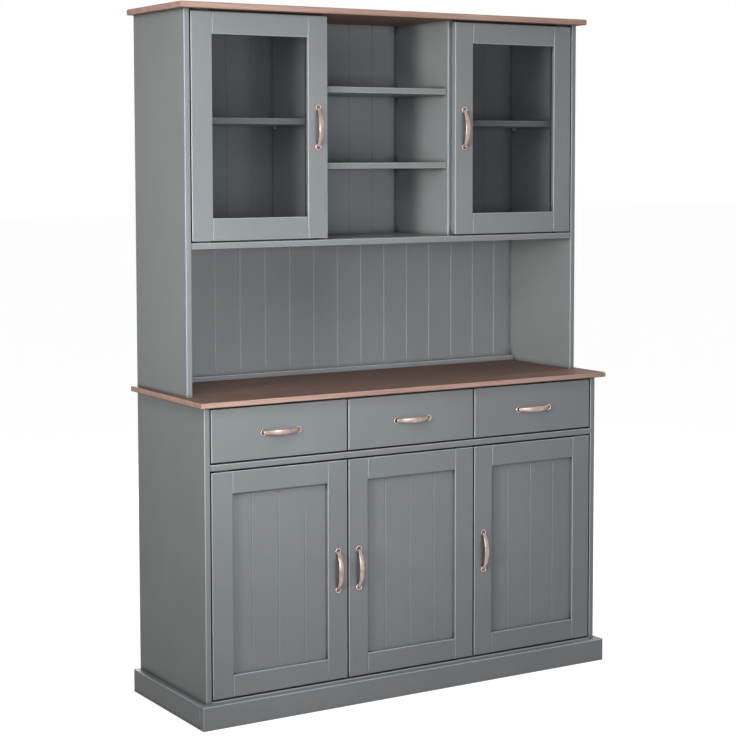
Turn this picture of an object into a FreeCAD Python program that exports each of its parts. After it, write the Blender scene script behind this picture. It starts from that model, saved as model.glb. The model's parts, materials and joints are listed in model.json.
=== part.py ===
import FreeCAD, Part
import math
import os
from dataclasses import dataclass

Vector = FreeCAD.Vector

# Driving dimensions, in millimetres

# Carcass boards
carcass_width = 1300.0            # over the outer faces of the side panels
base_depth = 418.0                # side panels of the base, front to back
hutch_depth = 317.0               # side panels of the hutch, front to back
board = 17.0                      # sides, dividers, bottom, rail, deck and shelves
floor_clearance = 51.0            # floor to the underside of the bottom board
niche_height = 395.0              # worktop to the underside of the deck
worktop_thickness = 15.0
worktop_front_overhang = 24.0     # beyond the front edges of the base sides
worktop_side_overhang = 20.0
top_thickness = 17.0
top_front_overhang = 23.0         # beyond the front edges of the hutch sides
top_side_overhang = 20.0
plinth_height = 64.0
plinth_front_thickness = 22.0
plinth_side_thickness = 20.0
base_divider_setback = 45.0       # base dividers stand behind the doors' swing
hutch_divider_gap = 2.0           # between the glazed doors and the hutch dividers
edge_radius = 3.5                 # rounding of the visible front edges
edge_chamfer = 1.8                # of the plinth and of the door frames' pieces, whose joints show as V lines

# Back panels
back_thickness = 6.0
back_rebate = 8.0                 # width of the rebate in the side panels
back_clearance = 0.5              # between a back panel and the rebate's wall
groove_pitch = 81.5               # between the V-grooves of backs and door panels
groove_width = 4.0
groove_depth = 1.5
groove_margin = 20.0              # least distance from a groove to a panel's edge
back_rail_height = 15.0           # rail at the foot of the niche back
back_rail_depth = 20.0

# Shelves
open_shelf_count = 2
open_shelf_setback = 8.0          # behind the front edges of the hutch dividers
loose_shelf_setback = 60.0        # behind the fronts of the doors
loose_shelf_gap = 1.0             # at each end of a loose shelf, and behind it
base_shelf_lift = 300.0           # bottom board to the underside of a base shelf
display_shelf_lift = 318.0        # deck to the underside of a display shelf
shelf_pin_radius = 4.5
shelf_pin_reach = 9.0             # out of the wall, under the shelf
shelf_pin_bore = 8.0              # depth of the pin's hole
shelf_pin_inset = 28.0            # from a shelf's front or back edge
shelf_pin_clearance = 0.1
cleat_size = 15.0                 # square battens under the base shelves
cleat_inset = 12.0                # from a shelf's front and back edges

# Doors and drawer fronts
door_height = 610.0
front_thickness = 20.0
stile_width = 62.0
rail_width = 60.0
front_gap = 4.5                   # between fronts, and above and below a door
side_gap = 3.5                    # between a front and a side panel
drawer_front_height = 142.0
drawer_top_gap = 7.5              # between a drawer front and the worktop
panel_thickness = 6.0
pane_thickness = 4.0
bead_thickness = 4.0
frame_rebate = 10.0               # width of the rebate behind a panel or a pane
rebate_clearance = 0.5

# Pivot hinges in the gaps above and below the doors
swing_clearance = 0.9             # between the turning door corner and its neighbour
leaf_length = 44.0
leaf_width = 12.0
leaf_end = 8.0                    # from the pin to the leaf's end at the hinged edge
leaf_gap = 0.5                    # between the carcass leaf and the door leaf
hinge_pin_radius = 2.0
hinge_pin_clearance = 0.08        # between the pin and the bore of the door leaf
hinge_pin_end_gap = 0.3           # between the pin's end and the door

# Drawer boxes and their runners
drawer_back_gap = 62.0            # between a drawer box and the back panel
drawer_side_thickness = 15.0
drawer_lift = 18.0                # drawer front's lower edge up to the box's
drawer_drop = 24.0                # drawer front's upper edge down to the box's
drawer_side_gap = 4.0             # between a box and the bay's walls
drawer_bottom_thickness = 4.0
drawer_bottom_groove = 6.0
drawer_bottom_lift = 8.0
drawer_bottom_clearance = 0.2
runner_height = 16.0
runner_back_gap = 47.0            # between a runner and the back panel
runner_groove_depth = 7.0
runner_clearance = 0.3            # between a runner and the groove that rides on it

# Bow handles
handle_spacing = 107.0            # between the centres of the feet
handle_projection = 22.0
bow_width = 16.0                  # at the middle
bow_end_width = 10.5
bow_thickness = 4.5
foot_radius = 9.0
foot_height = 5.0
foot_chamfer = 3.2
foot_flats = 12                   # flats round a foot

# Planes and places that follow from the driving dimensions
half_width = carcass_width / 2
inner_half = half_width - board
total_depth = base_depth + worktop_front_overhang
base_front = worktop_front_overhang - total_depth / 2
back_plane = base_front + base_depth
hutch_front = back_plane - hutch_depth
back_front = back_plane - back_thickness

door_opening = door_height + 2 * front_gap
bottom_top = floor_clearance + board
rail_bottom = bottom_top + door_opening
rail_top = rail_bottom + board
drawer_bottom_z = rail_top + front_gap
drawer_top_z = drawer_bottom_z + drawer_front_height
drawer_end = back_front - drawer_back_gap
worktop_bottom = drawer_top_z + drawer_top_gap
worktop_top = worktop_bottom + worktop_thickness
deck_bottom = worktop_top + niche_height
deck_top = deck_bottom + board
top_bottom = deck_top + door_opening
total_height = top_bottom + top_thickness
back_split = (deck_bottom + deck_top) / 2

front_width = (2 * inner_half - 2 * side_gap - 2 * front_gap) / 3
front_step = front_width + front_gap
front_centers = {"left": -front_step, "middle": 0.0, "right": front_step}
divider_inner = front_step / 2 - board / 2
divider_outer = divider_inner + board
base_divider_front = base_front + base_divider_setback
hutch_divider_front = hutch_front + front_thickness + hutch_divider_gap
bays = {
    "left": (-inner_half, -divider_outer),
    "middle": (-divider_inner, divider_inner),
    "right": (divider_outer, inner_half),
}
sides = {"left": -1, "right": 1}

# The pivot lies so far in that the door's corners clear the side panel as they turn
swing_room = side_gap - swing_clearance
pivot_depth = front_thickness / 2
pivot_inset = (pivot_depth ** 2 - swing_room ** 2) / (2 * swing_room)
leaf_thickness = (front_gap - leaf_gap) / 2


@dataclass
class Door:
    name: str
    center: float
    front: float
    bottom: float
    hinge_side: int       # -1 hangs at its left edge, 1 at its right edge
    glazed: bool

    def edge(self, side):
        return self.center + side * front_width / 2

    def pivot(self):
        return self.edge(self.hinge_side) - self.hinge_side * pivot_inset

    def carcass_faces(self):
        """Heights of the carcass faces below and above the door, with the way towards the door."""
        return [(self.bottom - front_gap, 1), (self.bottom + door_height + front_gap, -1)]


base_door_bottom = bottom_top + front_gap
glass_door_bottom = deck_top + front_gap
doors = [
    Door("door_left", front_centers["left"], base_front, base_door_bottom, -1, False),
    Door("door_middle", front_centers["middle"], base_front, base_door_bottom, 1, False),
    Door("door_right", front_centers["right"], base_front, base_door_bottom, 1, False),
    Door("glass_door_left", front_centers["left"], hutch_front, glass_door_bottom, -1, True),
    Door("glass_door_right", front_centers["right"], hutch_front, glass_door_bottom, 1, True),
]


# Basic shapes

def block(x, y, z):
    """Box between pairs of coordinates, given in any order."""
    x, y, z = sorted(x), sorted(y), sorted(z)
    return Part.makeBox(x[1] - x[0], y[1] - y[0], z[1] - z[0], Vector(x[0], y[0], z[0]))


def straight_edges(solid, along, at):
    """Edges that run along the named axes at the given coordinates."""
    chosen = []
    for edge in solid.Edges:
        start, end = edge.Vertexes[0].Point, edge.Vertexes[-1].Point
        runs = [axis for axis in "xyz" if abs(getattr(end - start, axis)) > 1e-6]
        placed = all(abs(getattr(point, axis) - place) < 1e-6
                     for point in (start, end) for axis, place in at.items())
        if len(runs) == 1 and runs[0] in along and placed:
            chosen.append(edge)
    return chosen


def eased(solid, along, **at):
    """Round the straight edges along the named axes at the given coordinates."""
    return solid.makeFillet(edge_radius, straight_edges(solid, along, at))


def chamfered(solid, along, **at):
    return solid.makeChamfer(edge_chamfer, straight_edges(solid, along, at))


def polygon_face(corners):
    return Part.Face(Part.makePolygon(corners + corners[:1]))


def cylinder(radius, start, end):
    """Cylinder between two points."""
    return Part.makeCylinder(radius, (end - start).Length, start, end - start)


def groove_places(half, offset):
    """Centres of the V-grooves on a panel, symmetrical about its middle."""
    count = int((half - groove_margin) / groove_pitch) + 1
    places = [(index + offset) * groove_pitch for index in range(-count, count + 1)]
    return [place for place in places if abs(place) <= half - groove_margin]


def grooved_panel(x, y, z, places):
    """Flat panel with vertical V-grooves cut in its front face."""
    cutters = []
    for place in places:
        corners = [
            Vector(place - groove_width / 2, y[0], z[0]),
            Vector(place + groove_width / 2, y[0], z[0]),
            Vector(place, y[0] + groove_depth, z[0]),
        ]
        cutters.append(polygon_face(corners).extrude(Vector(0, 0, z[1] - z[0])))
    return block(x, y, z).cut(Part.makeCompound(cutters))


# Loose shelves, and the pins and cleats that carry them

def loose_shelf(bay, front, underside):
    x = (bay[0] + loose_shelf_gap, bay[1] - loose_shelf_gap)
    y = (front + loose_shelf_setback, back_front - loose_shelf_gap)
    return block(x, y, (underside, underside + board))


def display_shelf(bay, front, underside):
    """Loose shelf behind the glass, with rounded front edges."""
    return eased(loose_shelf(bay, front, underside), "x", y=front + loose_shelf_setback)


def pin_places(bay, front, underside):
    """Wall point and inward direction of each of the four pins under a shelf."""
    z = underside - shelf_pin_radius - shelf_pin_clearance
    depths = (front + loose_shelf_setback + shelf_pin_inset, back_front - shelf_pin_inset)
    return [(Vector(wall, y, z), inward) for wall, inward in zip(bay, (1, -1)) for y in depths]


def shelf_pin(wall_point, inward):
    start = wall_point - Vector(inward * (shelf_pin_bore - shelf_pin_clearance), 0, 0)
    return cylinder(shelf_pin_radius, start, wall_point + Vector(inward * shelf_pin_reach, 0, 0))


def pin_bore(wall_point, inward):
    start = wall_point - Vector(inward * shelf_pin_bore, 0, 0)
    return cylinder(shelf_pin_radius + shelf_pin_clearance, start, wall_point)


def shelf_cleats(bay, front, underside):
    """Two battens, one on each wall of a base bay."""
    y = (front + loose_shelf_setback + cleat_inset, back_front - cleat_inset)
    z = (underside - cleat_size, underside)
    return [block((wall, wall + inward * cleat_size), y, z) for wall, inward in zip(bay, (1, -1))]


base_shelf_bays = [(bay, base_front, bottom_top + base_shelf_lift) for bay in bays.values()]
display_shelf_bays = [(bays[name], hutch_front, deck_top + display_shelf_lift) for name in sides]
all_pins = [pin for shelf_bay in display_shelf_bays for pin in pin_places(*shelf_bay)]
pin_bores = Part.makeCompound([pin_bore(*pin) for pin in all_pins])


# Carcass of the base

def side_panel(side, front, z, rebate_bottom):
    """Side panel with rounded front edges, a rebate for the back and bores for the shelf pins."""
    panel = block((side * inner_half, side * half_width), (front, back_plane), z)
    panel = eased(panel, "z", y=front)
    rebate = block((side * inner_half, side * (inner_half + back_rebate)), (back_front, back_plane),
                   (rebate_bottom, z[1]))
    return panel.cut(rebate).cut(pin_bores)


def divider(side, front, z):
    panel = block((side * divider_inner, side * divider_outer), (front, back_front), z)
    panel = eased(panel, "z", y=front)
    return panel.cut(pin_bores)


def between_sides(front, depth_end, z):
    """Board that spans from one side panel to the other, with rounded front edges."""
    plank = block((-inner_half, inner_half), (front, depth_end), z)
    return eased(plank, "x", y=front)


def plinth_front():
    end = half_width + plinth_side_thickness
    front = base_front - plinth_front_thickness
    plank = block((-end, end), (front, base_front), (0, plinth_height))
    plank = chamfered(plank, "z")
    return chamfered(plank, "x", y=front, z=plinth_height)


def plinth_side(side):
    outside = side * (half_width + plinth_side_thickness)
    plank = block((side * half_width, outside), (base_front, back_plane), (0, plinth_height))
    plank = chamfered(plank, "y", x=outside, z=plinth_height)
    return chamfered(plank, "z", x=outside, y=base_front)


def overhanging_top(half, front, z):
    """Worktop or top board, rounded along its front and its two ends."""
    plank = block((-half, half), (front, back_plane), z)
    rim = straight_edges(plank, "x", {"y": front}) + straight_edges(plank, "y", {})
    return plank.makeFillet(edge_radius, rim)


def back_panel(z, offset):
    half = inner_half + back_rebate - back_clearance
    return grooved_panel((-half, half), (back_front, back_plane), z, groove_places(inner_half, offset))


def open_shelf(index):
    """One of the fixed shelves that divide the open bay into equal spaces."""
    space = (door_opening - open_shelf_count * board) / (open_shelf_count + 1)
    underside = deck_top + space + index * (space + board)
    front = hutch_divider_front + open_shelf_setback
    shelf = block(bays["middle"], (front, back_front), (underside, underside + board))
    return eased(shelf, "x", y=front)


# Framed doors

def frame_spans(door, margin):
    """Width and height of the frame's opening, widened by a margin on every side."""
    x = (door.edge(-1) + stile_width - margin, door.edge(1) - stile_width + margin)
    z = (door.bottom + rail_width - margin, door.bottom + door_height - rail_width + margin)
    return x, z


def infill_depth(door):
    """Thickness of what lies in the rebate of the frame."""
    return pane_thickness + bead_thickness if door.glazed else panel_thickness


def door_frame(door):
    """Two stiles and two rails with chamfered front edges, so that their joints show as V lines."""
    y = (door.front, door.front + front_thickness)
    z = (door.bottom, door.bottom + door_height)
    opening_x, opening_z = frame_spans(door, 0)
    stiles = [block((door.edge(-1), opening_x[0]), y, z), block((opening_x[1], door.edge(1)), y, z)]
    rails = [block(opening_x, y, (z[0], opening_z[0])), block(opening_x, y, (opening_z[1], z[1]))]
    pieces = [chamfered(piece, "xz", y=door.front) for piece in stiles + rails]
    rebate_x, rebate_z = frame_spans(door, frame_rebate)
    rebate = block(rebate_x, (y[1] - infill_depth(door), y[1]), rebate_z)
    return [piece.cut(rebate) for piece in pieces]


def door_panel(door):
    """Grooved panel that lies in the frame's rebate, flush with its back."""
    x, z = frame_spans(door, frame_rebate - rebate_clearance)
    back = door.front + front_thickness
    visible = front_width / 2 - stile_width
    places = [door.center + place for place in groove_places(visible, 0)]
    return grooved_panel(x, (back - panel_thickness, back), z, places)


def door_pane(door):
    x, z = frame_spans(door, frame_rebate - rebate_clearance)
    back = door.front + front_thickness - bead_thickness
    return block(x, (back - pane_thickness, back), z)


def glazing_beads(door):
    """Four strips that hold the pane in its rebate."""
    x, z = frame_spans(door, frame_rebate - rebate_clearance)
    inner_x, inner_z = frame_spans(door, 0)
    back = door.front + front_thickness
    y = (back - bead_thickness, back)
    return [
        block((x[0], inner_x[0]), y, z),
        block((inner_x[1], x[1]), y, z),
        block(inner_x, y, (z[0], inner_z[0])),
        block(inner_x, y, (inner_z[1], z[1])),
    ]


# Pivot hinges

def hinge_leaf(door, near, far):
    """Plate across a hinged stile, between two heights."""
    inward = -door.hinge_side
    x = (door.pivot() - inward * leaf_end, door.pivot() + inward * (leaf_length - leaf_end))
    y = door.front + pivot_depth
    return block(x, (y - leaf_width / 2, y + leaf_width / 2), (near, far))


def carcass_leaf(door, face, toward):
    """Leaf on the carcass with the upright pin that the door turns on."""
    leaf = hinge_leaf(door, face, face + toward * leaf_thickness)
    foot = Vector(door.pivot(), door.front + pivot_depth, face)
    pin = cylinder(hinge_pin_radius, foot, foot + Vector(0, 0, toward * (front_gap - hinge_pin_end_gap)))
    return leaf.fuse(pin).removeSplitter()


def door_leaf(door, face, toward):
    """Leaf on the end of the door, bored for the pin."""
    end = face + toward * front_gap
    leaf = hinge_leaf(door, end - toward * leaf_thickness, end)
    foot = Vector(door.pivot(), door.front + pivot_depth, face)
    bore = cylinder(hinge_pin_radius + hinge_pin_clearance, foot, foot + Vector(0, 0, toward * front_gap))
    return leaf.cut(bore)


# Drawers

def drawer_bay(name):
    """Left and right faces of a drawer box."""
    left, right = bays[name]
    return left + drawer_side_gap, right - drawer_side_gap


def bottom_groove_z():
    start = drawer_bottom_z + drawer_lift + drawer_bottom_lift
    return start, start + drawer_bottom_thickness


def drawer_bottom_cut(name):
    """Groove round the box and across the front that takes the bottom panel."""
    left, right = drawer_bay(name)
    inset = drawer_side_thickness - drawer_bottom_groove
    back = base_front + front_thickness
    return block((left + inset, right - inset), (back - drawer_bottom_groove, drawer_end), bottom_groove_z())


def drawer_front(name):
    center = front_centers[name]
    x = (center - front_width / 2, center + front_width / 2)
    plank = block(x, (base_front, base_front + front_thickness), (drawer_bottom_z, drawer_top_z))
    return eased(plank, "xz", y=base_front).cut(drawer_bottom_cut(name))


def runner_z():
    """Lower and upper faces of the runner battens, at half the height of the drawer sides."""
    middle = (drawer_bottom_z + drawer_lift + drawer_top_z - drawer_drop) / 2
    return middle - runner_height / 2, middle + runner_height / 2


def drawer_box(name):
    """Two grooved sides and a back that stands on the bottom panel."""
    left, right = drawer_bay(name)
    y = (base_front + front_thickness, drawer_end)
    z = (drawer_bottom_z + drawer_lift, drawer_top_z - drawer_drop)
    runner = runner_z()
    groove_z = (runner[0] - runner_clearance, runner[1] + runner_clearance)
    pieces = []
    for face, inward in ((left, 1), (right, -1)):
        plank = block((face, face + inward * drawer_side_thickness), y, z)
        groove = block((face, face + inward * runner_groove_depth), y, groove_z)
        pieces.append(plank.cut(groove).cut(drawer_bottom_cut(name)))
    pieces.append(block((left + drawer_side_thickness, right - drawer_side_thickness),
                        (drawer_end - drawer_side_thickness, drawer_end), (bottom_groove_z()[1], z[1])))
    return pieces


def drawer_bottom(name):
    left, right = drawer_bay(name)
    inset = drawer_side_thickness - drawer_bottom_groove + drawer_bottom_clearance
    start = base_front + front_thickness - drawer_bottom_groove + drawer_bottom_clearance
    return block((left + inset, right - inset), (start, drawer_end), bottom_groove_z())


def drawer_runner(wall, inward):
    """Hardwood batten on a bay's wall, which the groove of the drawer side rides on."""
    reach = drawer_side_gap + runner_groove_depth - runner_clearance
    y = (base_divider_front, back_front - runner_back_gap)
    return block((wall, wall + inward * reach), y, runner_z())


# Bow handles, drawn upright with the feet on the plane y = 0 and the bow towards -y

bow_rise = handle_projection - (bow_thickness + foot_height) / 2
bow_radius = ((handle_spacing / 2) ** 2 + bow_rise ** 2) / (2 * bow_rise)
bow_swing = math.asin(handle_spacing / 2 / bow_radius)


def bow_band():
    """Strap of even width on an arc from foot to foot."""
    half, front, back = bow_width / 2, -handle_projection, bow_thickness - handle_projection
    corners = [Vector(-half, front, 0), Vector(half, front, 0), Vector(half, back, 0), Vector(-half, back, 0)]
    section = polygon_face(corners)
    center = Vector(0, bow_radius - bow_rise - foot_height / 2, 0)
    section.rotate(center, Vector(1, 0, 0), -math.degrees(bow_swing))
    return section.revolve(center, Vector(1, 0, 0), 2 * math.degrees(bow_swing))


def bow_plan():
    """Upright outline of the bow, widest at its middle and narrow at the feet."""
    wide, narrow, end = bow_width / 2, bow_end_width / 2, handle_spacing / 2 + foot_radius
    half = [Vector(narrow, 0, -end), Vector(wide, 0, 0), Vector(narrow, 0, end)]
    corners = half + [Vector(-corner.x, 0, corner.z) for corner in reversed(half)]
    return polygon_face(corners).extrude(Vector(0, -2 * handle_projection, 0))


def handle_foot(height):
    """Round foot with a bevelled rim."""
    corners = []
    for flat in range(foot_flats):
        angle = 2 * math.pi * flat / foot_flats
        corners.append(Vector(foot_radius * math.cos(angle), 0, height + foot_radius * math.sin(angle)))
    foot = polygon_face(corners).extrude(Vector(0, -foot_height, 0))
    rim = [edge for edge in foot.Edges if edge.BoundBox.YMax < -foot_height / 2]
    return foot.makeChamfer(foot_chamfer, rim)


def handle():
    feet = [handle_foot(side * handle_spacing / 2) for side in sides.values()]
    return bow_band().common(bow_plan()).fuse(feet)


def door_handle(door):
    """Upright handle at mid-height on the stile away from the hinges."""
    x = door.edge(-door.hinge_side) + door.hinge_side * stile_width / 2
    return handle().translated(Vector(x, door.front, door.bottom + door_height / 2))


def drawer_handle(name):
    """Level handle in the middle of a drawer front."""
    level = handle()
    level.rotate(Vector(0, 0, 0), Vector(0, 1, 0), 90)
    return level.translated(Vector(front_centers[name], base_front, (drawer_bottom_z + drawer_top_z) / 2))


# Nodes

def carcass_nodes():
    nodes = {}
    for name, side in sides.items():
        nodes["base_side_" + name] = [side_panel(side, base_front, (0, worktop_bottom), floor_clearance)]
        nodes["base_divider_" + name] = [divider(side, base_divider_front, (bottom_top, worktop_bottom))]
        nodes["hutch_side_" + name] = [side_panel(side, hutch_front, (worktop_top, top_bottom), worktop_top)]
        nodes["hutch_divider_" + name] = [divider(side, hutch_divider_front, (deck_top, top_bottom))]
    nodes["base_bottom"] = [between_sides(base_front, back_front, (floor_clearance, bottom_top))]
    nodes["base_rail"] = [between_sides(base_front, base_divider_front, (rail_bottom, rail_top))]
    base_back_half = inner_half + back_rebate - back_clearance
    nodes["base_back"] = [block((-base_back_half, base_back_half), (back_front, back_plane),
                                (floor_clearance, worktop_bottom))]
    nodes["plinth_front"] = [plinth_front()]
    nodes["plinth_sides"] = [plinth_side(side) for side in sides.values()]
    nodes["worktop"] = [overhanging_top(half_width + worktop_side_overhang,
                                        base_front - worktop_front_overhang, (worktop_bottom, worktop_top))]
    nodes["hutch_deck"] = [between_sides(hutch_front, back_front, (deck_bottom, deck_top))]
    nodes["hutch_top"] = [overhanging_top(half_width + top_side_overhang,
                                          hutch_front - top_front_overhang, (top_bottom, total_height))]
    nodes["hutch_back_lower"] = [back_panel((worktop_top, back_split), 0)]
    nodes["hutch_back_upper"] = [back_panel((back_split, top_bottom), 0.5)]
    nodes["hutch_back_rail"] = [between_sides(back_front - back_rail_depth, back_front,
                                              (worktop_top, worktop_top + back_rail_height))]
    nodes["open_shelves"] = [open_shelf(index) for index in range(open_shelf_count)]
    nodes["base_shelves"] = [loose_shelf(*shelf_bay) for shelf_bay in base_shelf_bays]
    nodes["display_shelves"] = [display_shelf(*shelf_bay) for shelf_bay in display_shelf_bays]
    nodes["shelf_pins"] = [shelf_pin(*pin) for pin in all_pins]
    nodes["shelf_cleats"] = [cleat for shelf_bay in base_shelf_bays for cleat in shelf_cleats(*shelf_bay)]
    nodes["drawer_runners"] = [drawer_runner(wall, inward) for bay in bays.values()
                               for wall, inward in zip(bay, (1, -1))]
    nodes["hinge_leaves"] = [carcass_leaf(door, *face) for door in doors for face in door.carcass_faces()]
    return nodes


def drawer_nodes(name):
    return {
        "drawer_" + name + "_front": [drawer_front(name)],
        "drawer_" + name + "_box": drawer_box(name),
        "drawer_" + name + "_bottom": [drawer_bottom(name)],
        "drawer_" + name + "_handle": [drawer_handle(name)],
    }


def door_nodes(door):
    nodes = {door.name + "_frame": door_frame(door), door.name + "_handle": [door_handle(door)]}
    if door.glazed:
        nodes[door.name + "_pane"] = [door_pane(door)]
        nodes[door.name + "_beads"] = glazing_beads(door)
    else:
        nodes[door.name + "_panel"] = [door_panel(door)]
    nodes[door.name + "_hinge_leaves"] = [door_leaf(door, *face) for face in door.carcass_faces()]
    return nodes


nodes = carcass_nodes()
for name in bays:
    nodes.update(drawer_nodes(name))
for door in doors:
    nodes.update(door_nodes(door))

os.makedirs("parts", exist_ok=True)
for name, solids in nodes.items():
    shape = solids[0] if len(solids) == 1 else Part.makeCompound(solids)
    shape.exportStep("parts/" + name + ".step")
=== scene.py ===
import json
import math

import bmesh
import bpy
from mathutils import Euler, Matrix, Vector

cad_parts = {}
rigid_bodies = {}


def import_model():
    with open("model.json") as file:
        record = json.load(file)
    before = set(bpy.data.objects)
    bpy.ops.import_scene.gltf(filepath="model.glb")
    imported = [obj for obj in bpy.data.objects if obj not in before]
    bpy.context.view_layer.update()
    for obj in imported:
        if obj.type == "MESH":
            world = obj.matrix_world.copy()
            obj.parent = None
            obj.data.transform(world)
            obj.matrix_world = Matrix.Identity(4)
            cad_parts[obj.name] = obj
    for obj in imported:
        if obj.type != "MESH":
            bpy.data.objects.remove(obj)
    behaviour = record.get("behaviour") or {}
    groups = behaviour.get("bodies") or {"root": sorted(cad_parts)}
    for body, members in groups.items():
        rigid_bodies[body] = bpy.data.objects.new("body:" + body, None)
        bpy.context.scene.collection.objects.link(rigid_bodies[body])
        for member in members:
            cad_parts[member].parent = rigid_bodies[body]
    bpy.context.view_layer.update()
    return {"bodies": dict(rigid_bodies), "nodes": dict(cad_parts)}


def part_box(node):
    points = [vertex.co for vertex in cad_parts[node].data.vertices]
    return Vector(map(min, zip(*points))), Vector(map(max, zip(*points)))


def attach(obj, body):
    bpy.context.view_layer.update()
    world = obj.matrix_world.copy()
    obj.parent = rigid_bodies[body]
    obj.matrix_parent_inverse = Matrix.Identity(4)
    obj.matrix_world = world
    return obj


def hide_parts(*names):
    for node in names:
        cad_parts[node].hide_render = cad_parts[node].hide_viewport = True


# Camera: turned in degrees, lens and sensor in millimetres
camera_place = (-2.7799, -4.4891, 1.5106)
camera_turn = (85.7455, 0.1059, -31.37)
camera_lens = 89.8
camera_sensor = 36.0
camera_shift = (0.0078, -0.1)

# Lamps: power in watts, the beam's spread in degrees
lamps = {
    "far": {
        "place": (-5.6, -2.4, 1.6),
        "target": (0.2, 0.0, 1.36),
        "size": (0.9, 0.9),
        "power": 11.4,
        "colour": (1.0, 0.985, 0.95),
        "spread": 40.0,
    },
    "front": {
        "place": (-0.1, -3.6, 1.35),
        "target": (0.0, 0.0, 1.0),
        "size": (0.7, 0.7),
        "power": 45.5,
        "colour": (0.905, 0.945, 1.0),
    },
    "upper": {
        "place": (-1.4, -1.3, 2.2),
        "target": (-0.5, 0.0, 1.5),
        "size": (0.7, 0.8),
        "power": 17.0,
        "colour": (0.93, 0.965, 1.0),
        "mirrored": False,
    },
    "near": {
        "place": (-0.8, -1.1, 1.15),
        "target": (-0.3, 0.0, 1.0),
        "size": (0.4, 0.4),
        "power": 6.6,
        "colour": (0.91, 0.95, 1.0),
        "mirrored": False,
    },
    "top": {
        "place": (-0.3, -1.0, 4.2),
        "target": (0.0, -0.2, 1.0),
        "size": (2.0, 1.4),
        "power": 12.0,
        "colour": (0.96, 0.98, 1.0),
    },
    "right": {
        "place": (3.6, 0.25, 1.9),
        "target": (0.6, 0.1, 1.0),
        "size": (1.4, 1.6),
        "power": 90.0,
        "colour": (0.97, 0.99, 1.0),
    },
    "back": {
        "place": (0.6, 3.9, 1.9),
        "target": (0.0, 0.2, 1.0),
        "size": (1.6, 1.4),
        "power": 80.0,
        "colour": (0.97, 0.99, 1.0),
    },
}

# Floor and surround
floor_half = 40.0
floor_roughness = 0.8
floor_glow = 0.96
floor_shade = (0.2, 0.2, 0.2, 1.0)
backdrop_colour = (1.0, 1.0, 1.0, 1.0)
backdrop_strength = 1.0
ambient_colour = (0.88, 0.94, 1.0, 1.0)
ambient_strength = 0.13

# Handles: a bowed strap on two round feet
handle_spacing = 0.107
bow_radius = 0.09159
bow_centre_depth = 0.07184
bow_width = 0.0155
bow_end_width = 0.0105
bow_taper_power = 1.3
bow_thickness = 0.0045
bow_steps = 36
section_points = 20
section_power = 2.6
foot_profile = (
    (0.0000, 0.0012),
    (0.0052, 0.0012),
    (0.0060, 0.0016),
    (0.0065, 0.0028),
    (0.0071, 0.0035),
    (0.0078, 0.0036),
    (0.0085, 0.0030),
    (0.0089, 0.0018),
    (0.0090, 0.0000),
)
foot_recess_rings = 3

# Shelf pins: hollow-ended sleeves under the display shelves
pin_profile = (
    (0.0000, 0.0050),
    (0.0020, 0.0050),
    (0.0024, 0.0056),
    (0.0026, 0.0086),
    (0.0030, 0.0090),
    (0.0040, 0.0090),
    (0.0045, 0.0085),
    (0.0045, -0.0078),
)
pin_walls = ((-0.633, 1), (-0.21908, -1), (0.21908, 1), (0.633, -1))
pin_depths = (-0.008, 0.187)
pin_height = 1.5984

# Round forms
lathe_sides = 40
smallest_radius = 1e-5

# Paint: shares of painted highlight on the edges, of painted shade in corners and of painted shade in
# gaps, and how far these two shades reach
frame_edge_highlight = 0.34
panel_edge_highlight = 0.06
niche_back_edge_highlight = 0.24
bay_back_edge_highlight = 0.0
frame_corner_shade = 0.85
level_corner_shade = 0.2
panel_corner_shade = 0.15
back_corner_shade = 0.5
corner_reach = 0.03
gap_shade = 0.8
gap_reach = 0.01
occlusion_samples = 4
grain_share = 0.06
paint_specular = 0.06

# Other finishes
stain_specular = 0.1
# Copper: share of painted shade where the surface turns away from the view
strap_turned_shade = 0.8
recess_turned_shade = 0.0
rim_turned_shade = 0.2
nickel_roughness = 0.5
dark_steel_roughness = 0.3
steel_roughness_spread = 0.08
# Share of the glass's dark film: partly its own tint, partly painted shade over the bays behind
glass_alpha = 0.2
glass_ior = 1.46

# Roughness, from least to most
paint_roughness = (0.31, 0.37)
stain_roughness = (0.46, 0.58)
pine_roughness = (0.55, 0.72)
board_roughness = (0.62, 0.8)
copper_roughness = (0.32, 0.44)
glass_roughness = (0.0, 0.03)

# Bump: strength and depth
paint_bump = (0.008, 0.0003)
stain_bump = (0.18, 0.0004)
pine_bump = (0.25, 0.0004)
board_bump = (0.3, 0.0003)
copper_bump = (0.06, 0.0002)
steel_bump = (0.05, 0.0002)
glass_bump = (0.02, 0.0004)

# Stretch of the noise: a small share draws it out along that axis
even = (1.0, 1.0, 1.0)
grain_along = {"X": (0.045, 1.0, 1.0), "Y": (1.0, 0.045, 1.0), "Z": (1.0, 1.0, 0.045)}
stain_rings = (0.03, 1.0, 1.0)
stain_pores = (0.02, 1.0, 1.0)
steel_brushed = (1.0, 0.06, 1.0)
glass_waves = (1.0, 1.0, 0.5)
glass_wiped = (1.0, 1.0, 0.3)


def linear(red, green, blue):
    """Colour written in screen values of 0 to 255."""
    values = []
    for value in (red, green, blue):
        share = value / 255
        values.append(share / 12.92 if share <= 0.04045 else ((share + 0.055) / 1.055) ** 2.4)
    return (*values, 1.0)


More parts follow.
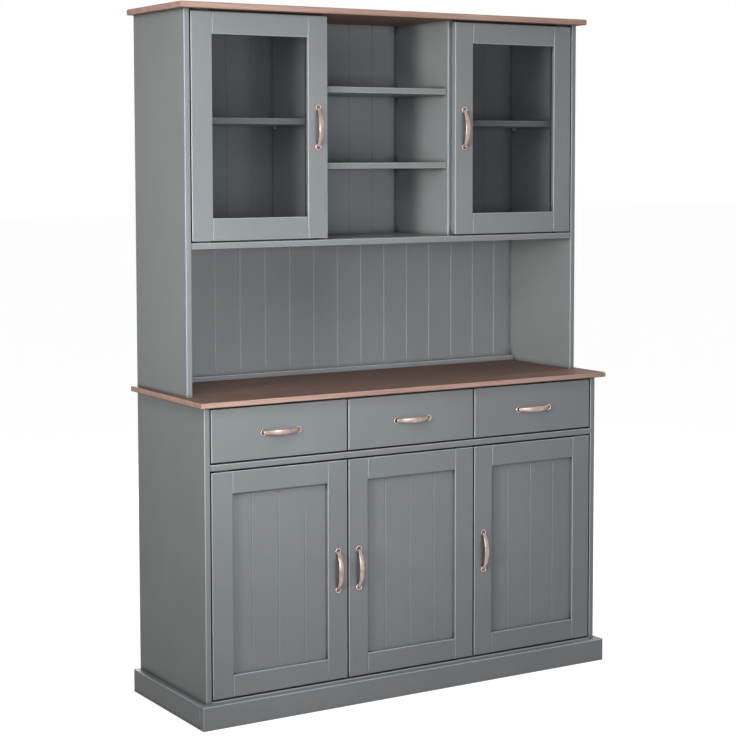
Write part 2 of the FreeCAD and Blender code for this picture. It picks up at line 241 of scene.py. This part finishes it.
# Colours
paint_tones = (linear(130, 132, 132), linear(124, 126, 126))
paint_grain = linear(115, 116, 117)
edge_highlight_colour = linear(206, 208, 211)
corner_shade_colour = linear(40, 42, 44)
gap_shade_colour = linear(34, 35, 36)
stain_face_tones = (linear(98, 74, 64), linear(124, 98, 87))
stain_edge_tones = (linear(152, 119, 105), linear(186, 154, 140))
stain_pore = linear(66, 50, 46)
pine_tones = (linear(222, 190, 144), linear(188, 146, 98))
pine_fibre = linear(160, 118, 76)
board_tones = (linear(150, 117, 84), linear(142, 109, 77))
board_fibre = linear(104, 76, 52)
strap_tones = (linear(188, 166, 158), linear(152, 129, 121))
# Painted shade in the feet's recesses and a painted highlight on their rims
recess_shade_tones = (linear(140, 112, 104), linear(118, 91, 84))
rim_highlight_tones = (linear(240, 216, 207), linear(216, 188, 178))
turned_shade_copper = linear(92, 72, 66)
nickel_tones = (linear(236, 238, 240), linear(220, 222, 225))
dark_steel_tones = (linear(74, 75, 77), linear(52, 53, 55))
glass_tint_and_shade_tones = (linear(30, 33, 36), linear(22, 25, 28))
floor_tones = (linear(125, 125, 125), linear(121, 121, 121))

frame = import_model()
nodes = frame["nodes"]


# Shader building


def feed(tree, target, inputs):
    for socket, value in inputs.items():
        if isinstance(value, bpy.types.NodeSocket):
            tree.links.new(value, target.inputs[socket])
        else:
            target.inputs[socket].default_value = value


def add(tree, kind, inputs=None, **settings):
    made = tree.nodes.new(kind)
    for name, value in settings.items():
        setattr(made, name, value)
    feed(tree, made, inputs or {})
    return made


def material(name):
    made = bpy.data.materials.new(name)
    made.use_nodes = True
    tree = made.node_tree
    return made, tree, tree.nodes["Principled BSDF"]


def noise(tree, stretch, scale, detail=4.0, roughness=0.55, distortion=0.0):
    """Noise over the piece's own coordinates, drawn out along the axes with a small stretch."""
    place = add(tree, "ShaderNodeTexCoord").outputs["Object"]
    mapped = add(tree, "ShaderNodeMapping", {"Vector": place, "Scale": stretch}).outputs[0]
    made = add(tree, "ShaderNodeTexNoise", {
        "Vector": mapped,
        "Scale": scale,
        "Detail": detail,
        "Roughness": roughness,
        "Distortion": distortion,
    })
    return made.outputs["Fac"]


def ranged(tree, value, low, high, start=0.3, end=0.7):
    """Value between start and end, spread from low to high."""
    return add(tree, "ShaderNodeMapRange", {0: value, 1: start, 2: end, 3: low, 4: high}).outputs[0]


def mixed(tree, factor, first, second):
    return add(tree, "ShaderNodeMix", {0: factor, 6: first, 7: second}, data_type="RGBA").outputs[2]


def clouded(tree, pattern, tones):
    """Two tones, blended by a noise pattern."""
    return mixed(tree, ranged(tree, pattern, 0.0, 1.0), *tones)


def bump(tree, height, strength, depth):
    made = add(tree, "ShaderNodeBump", {"Height": height, "Strength": strength, "Distance": depth})
    return made.outputs[0]


def calculated(tree, operation, *values):
    return add(tree, "ShaderNodeMath", dict(enumerate(values)), operation=operation).outputs[0]


def facing(tree, axis):
    """How squarely the surface faces along one axis of the piece, from -1 to 1."""
    normal = add(tree, "ShaderNodeTexCoord").outputs["Normal"]
    return add(tree, "ShaderNodeSeparateXYZ", {0: normal}).outputs[axis]


def openness(tree, reach):
    """How open the space before the surface is, within a short reach."""
    made = add(tree, "ShaderNodeAmbientOcclusion", {"Distance": reach}, samples=occlusion_samples)
    return made.outputs["AO"]


def edge_highlight_share(tree, most):
    """Share of painted highlight, which is on the rounded and chamfered edges only."""
    normal = add(tree, "ShaderNodeTexCoord").outputs["Normal"]
    size = add(tree, "ShaderNodeVectorMath", {0: normal}, operation="ABSOLUTE").outputs[0]
    parts = add(tree, "ShaderNodeSeparateXYZ", {0: size}).outputs
    squarest = calculated(tree, "MAXIMUM", calculated(tree, "MAXIMUM", parts[0], parts[1]), parts[2])
    return ranged(tree, squarest, most, 0.0, start=0.85, end=0.985)


def gap_shade_share(tree, most):
    """Share of painted shade on the edges down in the gaps between pieces."""
    flatness = calculated(tree, "ABSOLUTE", facing(tree, "Y"))
    edge_on = ranged(tree, flatness, most, 0.0, start=0.5, end=0.9)
    closed = ranged(tree, openness(tree, gap_reach), 1.0, 0.0, start=0.15, end=0.5)
    return calculated(tree, "MULTIPLY", closed, edge_on)


def corner_shade_share(tree, most):
    """Share of painted shade on the faces close behind a handle or close beside a frame."""
    return ranged(tree, openness(tree, corner_reach), most, 0.0, start=0.4, end=0.75)


# Materials


def paint_look(tree, shader, axis, edge_highlit, corner_shaded):
    """Satin grey paint with the wood's grain showing faintly through it, with painted highlights on its
    edges and painted shade in corners and gaps.
    """
    grain = noise(tree, grain_along[axis], scale=150.0, detail=5.0, distortion=0.4)
    cloud = noise(tree, even, scale=3.2, detail=3.0)
    tone = clouded(tree, cloud, paint_tones)
    tone = mixed(tree, ranged(tree, grain, 0.0, grain_share, start=0.45, end=0.75), tone, paint_grain)
    # Painted highlight: a paler grey on the rounded and chamfered edges, where light catches them.
    tone = mixed(tree, edge_highlight_share(tree, edge_highlit), tone, edge_highlight_colour)
    # Painted shade: a dark grey on the faces close behind a handle or beside a frame.
    tone = mixed(tree, corner_shade_share(tree, corner_shaded), tone, corner_shade_colour)
    # Painted shade: a near-black grey on the edges down in the gaps between pieces.
    tone = mixed(tree, gap_shade_share(tree, gap_shade), tone, gap_shade_colour)
    feed(tree, shader, {
        "Base Color": tone,
        "Roughness": ranged(tree, grain, *paint_roughness),
        "Specular IOR Level": paint_specular,
        "Normal": bump(tree, grain, *paint_bump),
    })


def paint(name, axis, edge_highlit=frame_edge_highlight, corner_shaded=frame_corner_shade):
    made, tree, shader = material(name)
    paint_look(tree, shader, axis, edge_highlit, corner_shaded)
    return made


def stained_top():
    """Brown stained boards: dark and flat on the faces that face up or down, paler and pinkish on the
    edges.
    """
    made, tree, shader = material("stained_top")
    rings = noise(tree, stain_rings, scale=42.0, detail=7.0, roughness=0.6, distortion=0.8)
    pores = noise(tree, stain_pores, scale=420.0, detail=3.0)
    level = ranged(tree, calculated(tree, "ABSOLUTE", facing(tree, "Z")), 0.0, 1.0, start=0.55, end=0.95)
    edge = clouded(tree, rings, stain_edge_tones)
    tone = mixed(tree, level, edge, clouded(tree, rings, stain_face_tones))
    tone = mixed(tree, ranged(tree, pores, 0.0, 0.4, start=0.52, end=0.72), tone, stain_pore)
    feed(tree, shader, {
        "Base Color": tone,
        "Roughness": ranged(tree, rings, *stain_roughness),
        "Specular IOR Level": stain_specular,
        "Normal": bump(tree, pores, *stain_bump),
    })
    return made


def pine(name, axis):
    made, tree, shader = material(name)
    rings = noise(tree, grain_along[axis], scale=30.0, detail=6.0, roughness=0.6, distortion=1.4)
    fibres = noise(tree, grain_along[axis], scale=320.0, detail=3.0)
    tone = clouded(tree, rings, pine_tones)
    tone = mixed(tree, ranged(tree, fibres, 0.0, 0.3, start=0.5, end=0.75), tone, pine_fibre)
    feed(tree, shader, {
        "Base Color": tone,
        "Roughness": ranged(tree, fibres, *pine_roughness),
        "Normal": bump(tree, fibres, *pine_bump),
    })
    return made


def board_colour(tree):
    fibres = noise(tree, even, scale=900.0)
    cloud = noise(tree, even, scale=9.0)
    tone = clouded(tree, cloud, board_tones)
    return mixed(tree, ranged(tree, fibres, 0.0, 0.6), tone, board_fibre), fibres


def fibreboard():
    made, tree, shader = material("bare_board")
    tone, fibres = board_colour(tree)
    feed(tree, shader, {
        "Base Color": tone,
        "Roughness": ranged(tree, fibres, *board_roughness),
        "Normal": bump(tree, fibres, *board_bump),
    })
    return made


def backed_paint(name, edge_highlit):
    """Grooved and painted in front, bare board behind, where it stands to the wall."""
    made, tree, shader = material(name)
    paint_look(tree, shader, "Z", edge_highlit, back_corner_shade)
    painted = shader.inputs["Base Color"].links[0].from_socket
    behind = ranged(tree, facing(tree, "Y"), 0.0, 1.0, start=0.9, end=0.99)
    board, _ = board_colour(tree)
    feed(tree, shader, {"Base Color": mixed(tree, behind, painted, board)})
    return made


def copper(name, turned_shade, tones):
    """Copper plate, with painted shade up to the given share where it turns away from the view."""
    made, tree, shader = material(name)
    brushed = noise(tree, even, scale=700.0)
    cloud = noise(tree, even, scale=60.0, detail=3.0)
    turning = add(tree, "ShaderNodeLayerWeight", {"Blend": 0.5}).outputs["Facing"]
    # Painted shade: a browner, darker copper where the surface turns away from the view.
    turned_shaded = ranged(tree, turning, 0.0, turned_shade, start=0.35, end=0.85)
    feed(tree, shader, {
        "Base Color": mixed(tree, turned_shaded, clouded(tree, cloud, tones), turned_shade_copper),
        "Metallic": 1.0,
        "Roughness": ranged(tree, brushed, *copper_roughness),
        "Normal": bump(tree, brushed, *copper_bump),
    })
    return made


def steel(name, roughness, tones):
    made, tree, shader = material(name)
    brushed = noise(tree, steel_brushed, scale=900.0)
    cloud = noise(tree, even, scale=80.0, detail=3.0)
    smoothest = roughness - steel_roughness_spread
    roughest = roughness + steel_roughness_spread
    feed(tree, shader, {
        "Base Color": clouded(tree, cloud, tones),
        "Metallic": 1.0,
        "Roughness": ranged(tree, brushed, smoothest, roughest),
        "Normal": bump(tree, brushed, *steel_bump),
    })
    return made


def glass():
    """Clear glass with a dark film, partly its own slight tint and partly painted shade over the bays
    behind it, a little uneven and with a trace of wiping marks.
    """
    made, tree, shader = material("glass")
    waves = noise(tree, glass_waves, scale=6.0, detail=2.0)
    wiped = noise(tree, glass_wiped, scale=24.0, detail=5.0)
    feed(tree, shader, {
        "Base Color": clouded(tree, waves, glass_tint_and_shade_tones),
        "Alpha": glass_alpha,
        "IOR": glass_ior,
        "Roughness": ranged(tree, wiped, *glass_roughness),
        "Normal": bump(tree, waves, *glass_bump),
    })
    return made


upright_paint = paint("grey_paint_upright", "Z")
level_paint = paint("grey_paint_level", "X", corner_shaded=level_corner_shade)
depth_paint = paint("grey_paint_depth", "Y")
groove_paint = paint("grey_paint_grooved", "Z", panel_edge_highlight, panel_corner_shade)
tops = stained_top()
drawer_pine = pine("bare_pine", "Y")
bare_board = fibreboard()
niche_back_paint = backed_paint("grey_paint_niche_back", niche_back_edge_highlight)
bay_back_paint = backed_paint("grey_paint_bay_back", bay_back_edge_highlight)
strap_copper = copper("copper", strap_turned_shade, strap_tones)
recess_shade_copper = copper("copper_recess_shade", recess_turned_shade, recess_shade_tones)
rim_highlight_copper = copper("copper_rim_highlight", rim_turned_shade, rim_highlight_tones)
nickel_steel = steel("nickel_steel", nickel_roughness, nickel_tones)
dark_steel = steel("dark_steel", dark_steel_roughness, dark_steel_tones)
pane_glass = glass()

level_painted = (
    "base_bottom",
    "base_rail",
    "plinth_front",
    "hutch_deck",
    "hutch_back_rail",
    "open_shelves",
    "base_shelves",
    "display_shelves",
    "drawer_left_front",
    "drawer_middle_front",
    "drawer_right_front",
)


def finish_of(name):
    if name in ("worktop", "hutch_top"):
        return tops
    if name == "base_back" or name.startswith("drawer") and name.endswith("_bottom"):
        return bare_board
    if name.endswith("_box") or name in ("shelf_cleats", "drawer_runners"):
        return drawer_pine
    if name.endswith("handle"):
        return strap_copper
    if name.endswith("hinge_leaves") or name == "shelf_pins":
        return dark_steel
    if name.endswith("_pane"):
        return pane_glass
    if name == "hutch_back_lower":
        return niche_back_paint
    if name == "hutch_back_upper":
        return bay_back_paint
    if name.endswith("_panel"):
        return groove_paint
    if name == "plinth_sides":
        return depth_paint
    return level_paint if name in level_painted else upright_paint


for name, node in nodes.items():
    node.data.materials.clear()
    node.data.materials.append(finish_of(name))


# Replacement pieces


def piece(name, mesh_maker, looks, slot, body, *replaced):
    shape = bmesh.new()
    mesh_maker(shape)
    bmesh.ops.recalc_face_normals(shape, faces=shape.faces)
    mesh = bpy.data.meshes.new(name)
    shape.to_mesh(mesh)
    shape.free()
    mesh.shade_smooth()
    for look in looks:
        mesh.materials.append(look)
    made = bpy.data.objects.new(name, mesh)
    bpy.context.scene.collection.objects.link(made)
    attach(made, body)
    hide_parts(*replaced)


def skin(shape, rings, look_of=None):
    """Faces between closed rings of points, in the first look or in the one given for each ring."""
    rows = [[shape.verts.new(point) for point in ring] for ring in rings]
    for place, (row, following) in enumerate(zip(rows, rows[1:])):
        for i in range(len(row)):
            j = (i + 1) % len(row)
            face = shape.faces.new((row[i], row[j], following[j], following[i]))
            face.material_index = look_of(place) if look_of else 0
    for end in (rows[0], rows[-1]):
        shape.faces.new(end)


def turned(shape, profile, foot, outward, across, up, look_of=None):
    """Round form about an axis, from a profile of radius and height."""
    rings = []
    for radius, height in profile:
        ring = []
        for i in range(lathe_sides):
            angle = 2 * math.pi * i / lathe_sides
            spoke = across * math.cos(angle) + up * math.sin(angle)
            ring.append(foot + outward * height + spoke * max(radius, smallest_radius))
        rings.append(ring)
    skin(shape, rings, look_of)


def superellipse(angle, half_width, half_height):
    c, s = math.cos(angle), math.sin(angle)
    power = 2 / section_power
    return half_width * math.copysign(abs(c) ** power, c), half_height * math.copysign(abs(s) ** power, s)


def foot_look(ring):
    """The recess of a foot in the second look, darker for painted shade; its rim in the third, paler for
    a painted highlight.
    """
    return 1 if ring < foot_recess_rings else 2


def bowed_handle(shape, centre, along, across):
    """Crescent strap between two feet, each a round rim about a recess."""
    outward = Vector((0, -1, 0))
    reach = math.asin(handle_spacing / 2 / bow_radius)
    rings = []
    for i in range(bow_steps + 1):
        turn = reach * (2 * i / bow_steps - 1)
        radial = outward * math.cos(turn) + along * math.sin(turn)
        middle = centre - outward * bow_centre_depth + radial * bow_radius
        taper = abs(math.sin(turn) / math.sin(reach)) ** bow_taper_power
        half_width = (bow_width + (bow_end_width - bow_width) * taper) / 2
        ring = []
        for k in range(section_points):
            x, y = superellipse(2 * math.pi * k / section_points, half_width, bow_thickness / 2)
            ring.append(middle + across * x + radial * y)
        rings.append(ring)
    skin(shape, rings)
    for side in (-1, 1):
        foot = centre + along * side * handle_spacing / 2
        turned(shape, foot_profile, foot, outward, across, along, foot_look)


def add_handle(body, upright):
    low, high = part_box(body + "_handle")
    centre = Vector(((low.x + high.x) / 2, high.y, (low.z + high.z) / 2))
    axes = (Vector((0, 0, 1)), Vector((1, 0, 0)))
    along, across = axes if upright else axes[::-1]
    piece(body + "_bow_handle", lambda shape: bowed_handle(shape, centre, along, across),
          (strap_copper, recess_shade_copper, rim_highlight_copper), "copper", body, body + "_handle")


for body in frame["bodies"]:
    if body != "carcass":
        add_handle(body, upright="door" in body)


def shelf_sleeves(shape):
    for wall, inward in pin_walls:
        for depth in pin_depths:
            turned(shape, pin_profile, Vector((wall, depth, pin_height)), Vector((inward, 0, 0)),
                   Vector((0, 1, 0)), Vector((0, 0, 1)))


piece("shelf_pin_sleeves", shelf_sleeves, (nickel_steel,), "steel", "carcass", "shelf_pins")


# Stage: pale floor, white surround, soft studio light


def seen_directly(tree):
    """1 for what the camera sees, also in a reflection or through glass."""
    rays = add(tree, "ShaderNodeLightPath").outputs
    seen = calculated(tree, "MAXIMUM", rays["Is Camera Ray"], rays["Is Glossy Ray"])
    seen = calculated(tree, "MAXIMUM", seen, rays["Is Transmission Ray"])
    unscattered = calculated(tree, "LESS_THAN", rays["Diffuse Depth"], 0.5)
    return calculated(tree, "MULTIPLY", seen, unscattered)


def surfaced(tree, output, lighting, seen):
    """One shader for the light that it gives the part, another for what the camera sees."""
    shares = {0: seen_directly(tree), 1: lighting.outputs[0], 2: seen.outputs[0]}
    blend = add(tree, "ShaderNodeMixShader", shares)
    feed(tree, tree.nodes[output], {"Surface": blend.outputs[0]})


def pale_floor():
    made, tree, shader = material("pale_floor")
    speckle = noise(tree, even, scale=160.0)
    feed(tree, shader, {
        "Base Color": clouded(tree, speckle, floor_tones),
        "Roughness": floor_roughness,
    })
    glow = add(tree, "ShaderNodeEmission", {"Strength": floor_glow})
    shade = add(tree, "ShaderNodeBsdfDiffuse", {"Color": floor_shade})
    white = add(tree, "ShaderNodeAddShader", {0: glow.outputs[0], 1: shade.outputs[0]})
    surfaced(tree, "Material Output", shader, white)
    return made


def floor():
    mesh = bpy.data.meshes.new("floor")
    corners = [(x * floor_half, y * floor_half, 0) for x, y in ((-1, -1), (1, -1), (1, 1), (-1, 1))]
    mesh.from_pydata(corners, [], [(0, 1, 2, 3)])
    mesh.materials.append(pale_floor())
    made = bpy.data.objects.new("floor", mesh)
    bpy.context.scene.collection.objects.link(made)


def surround():
    world = bpy.data.worlds.new("surround")
    bpy.context.scene.world = world
    world.use_nodes = True
    tree = world.node_tree
    white = add(tree, "ShaderNodeBackground", {"Color": backdrop_colour, "Strength": backdrop_strength})
    ambient = add(tree, "ShaderNodeBackground", {"Color": ambient_colour, "Strength": ambient_strength})
    surfaced(tree, "World Output", ambient, white)


def soft_light(name, place, target, size, power, colour, spread=180.0, mirrored=True):
    """Rectangular lamp that the camera doesn't see, and that shows in shiny surfaces only if mirrored."""
    lamp = bpy.data.lights.new(name, "AREA")
    lamp.color = colour
    lamp.shape = "RECTANGLE"
    lamp.size, lamp.size_y = size
    lamp.energy = power
    lamp.spread = math.radians(spread)
    made = bpy.data.objects.new(name, lamp)
    made.location = place
    made.rotation_euler = (Vector(target) - Vector(place)).to_track_quat("-Z", "Y").to_euler()
    made.visible_camera = False
    made.visible_glossy = mirrored
    bpy.context.scene.collection.objects.link(made)


def camera():
    data = bpy.data.cameras.new("camera")
    data.lens = camera_lens
    data.sensor_width = camera_sensor
    data.shift_x, data.shift_y = camera_shift
    made = bpy.data.objects.new("camera", data)
    made.location = camera_place
    made.rotation_euler = Euler([math.radians(turn) for turn in camera_turn])
    bpy.context.scene.collection.objects.link(made)
    bpy.context.scene.camera = made


camera()
floor()
surround()
for name, settings in lamps.items():
    soft_light(name, **settings)
bpy.context.scene.view_settings.view_transform = "Standard"
